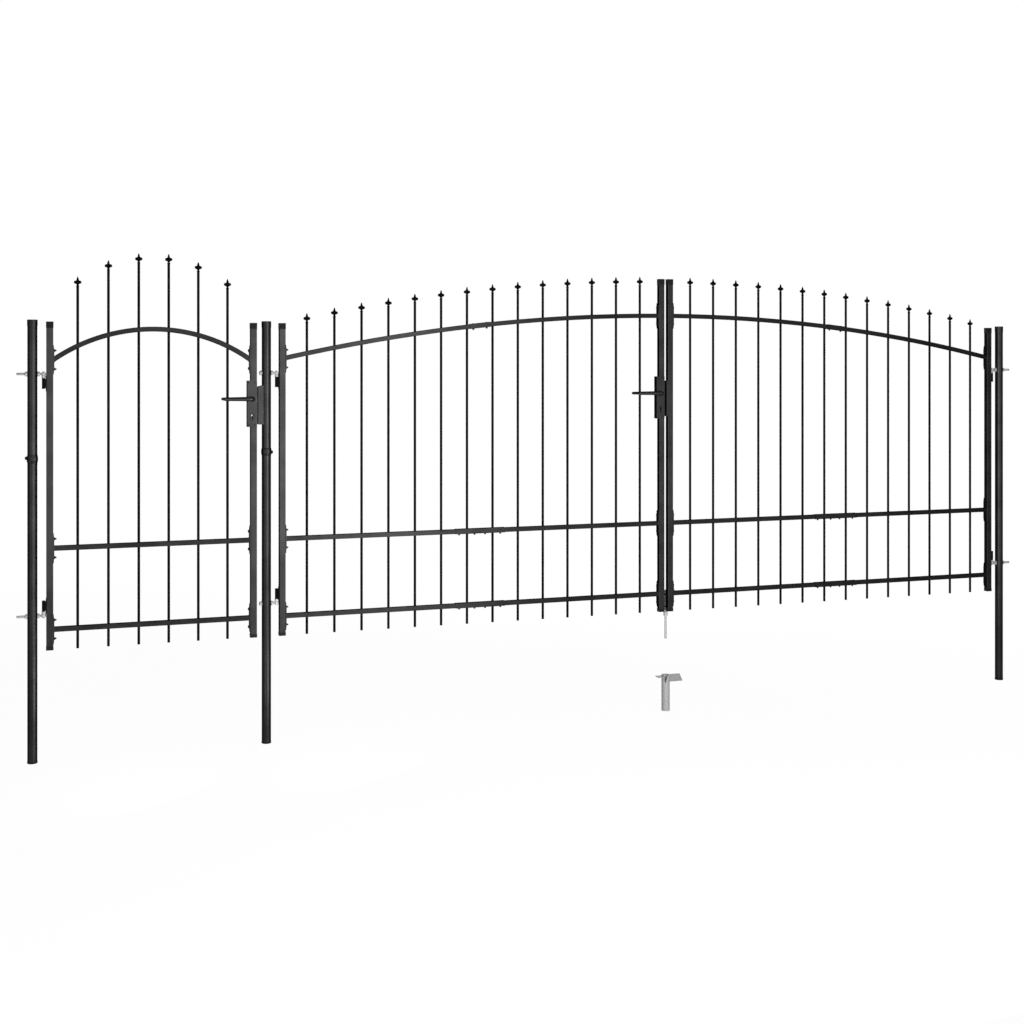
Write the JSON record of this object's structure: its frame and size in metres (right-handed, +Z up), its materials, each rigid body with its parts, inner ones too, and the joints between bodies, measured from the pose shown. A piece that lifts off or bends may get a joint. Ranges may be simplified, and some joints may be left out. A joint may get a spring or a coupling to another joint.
{
  "type": "spear-top driveway gate set",
  "caption": "Arched spear-top gate set: a double driveway gate and a wicket gate on round posts, with eye-bolt hinges, lever locks and a drop bolt.",
  "frame": {"origin": "centre of the middle post's foot", "axes": "+X along the gate to the right as seen from the viewer's side, +Y away from the viewer, +Z up"},
  "size_m": [5.216, 0.1165, 2.2739],
  "materials": {
    "black_coat": "black powder coat, satin",
    "galvanised_steel": "zinc-coated, dull",
    "cap_plastic": "matt",
    "handle_black": "black, smooth"
  },
  "bodies": {
    "posts": {"post_left": "black_coat", "post_middle": "black_coat", "post_right": "black_coat", "post_caps": "black_coat", "hinge_eye_bolts": "galvanised_steel", "hinge_nuts": "galvanised_steel", "wicket_keeper": "black_coat", "ground_sleeve": "galvanised_steel"},
    "wicket": {"wicket_hinge_stile": "black_coat", "wicket_lock_stile": "black_coat", "wicket_stile_caps": "cap_plastic", "wicket_arch": "black_coat", "wicket_middle_rail": "black_coat", "wicket_bottom_rail": "black_coat", "wicket_bars": "black_coat", "wicket_spear_heads": "black_coat", "wicket_rail_flanges": "black_coat", "wicket_hinge_brackets": "black_coat", "wicket_hinge_pins": "galvanised_steel", "wicket_lock_case": "black_coat"},
    "wicket_lever": {"wicket_levers": "handle_black"},
    "left_leaf": {"left_hinge_stile": "black_coat", "left_meeting_stile": "black_coat", "left_stile_caps": "cap_plastic", "left_arch": "black_coat", "left_middle_rail": "black_coat", "left_bottom_rail": "black_coat", "left_bars": "black_coat", "left_spear_heads": "black_coat", "left_rail_flanges": "black_coat", "left_splice_sleeves": "black_coat", "left_hinge_brackets": "black_coat", "left_hinge_pins": "galvanised_steel", "left_lock_case": "black_coat"},
    "left_lever": {"left_levers": "handle_black"},
    "right_leaf": {"right_hinge_stile": "black_coat", "right_meeting_stile": "black_coat", "right_stile_caps": "cap_plastic", "right_arch": "black_coat", "right_middle_rail": "black_coat", "right_bottom_rail": "black_coat", "right_bars": "black_coat", "right_spear_heads": "black_coat", "right_rail_flanges": "black_coat", "right_splice_sleeves": "black_coat", "right_hinge_brackets": "black_coat", "right_hinge_pins": "galvanised_steel", "right_keeper": "black_coat", "drop_bolt_brackets": "black_coat", "drop_bolt_tube": "galvanised_steel"},
    "drop_bolt": {"drop_rod": "galvanised_steel"}
  },
  "joints": [
    {"name": "wicket_hinge", "type": "hinge", "parent": "posts", "child": "wicket", "pos_m": [-0.983, 0, 0], "axis": [0, 0, 1], "range_deg": [0, 90]},
    {"name": "left_leaf_hinge", "type": "hinge", "parent": "posts", "child": "left_leaf", "pos_m": [0.047, 0, 0], "axis": [0, 0, 1], "range_deg": [0, 90]},
    {"name": "right_leaf_hinge", "type": "hinge", "parent": "posts", "child": "right_leaf", "pos_m": [4.005, 0, 0], "axis": [0, 0, -1], "range_deg": [0, 90]},
    {"name": "wicket_lever_turn", "type": "hinge", "parent": "wicket", "child": "wicket_lever", "pos_m": [-0.067, 0, 1.591], "axis": [0, -1, 0], "range_deg": [0, 40], "stiffness_Nm_per_rad": 0.8, "springref_deg": -40.11},
    {"name": "left_lever_turn", "type": "hinge", "parent": "left_leaf", "child": "left_lever", "pos_m": [1.995, 0, 1.6], "axis": [0, -1, 0], "range_deg": [0, 40], "stiffness_Nm_per_rad": 0.8, "springref_deg": -40.11},
    {"name": "drop_bolt_lift", "type": "slide", "parent": "right_leaf", "child": "drop_bolt", "axis": [0, 0, 1], "range_m": [0, 0.15]}
  ]
}
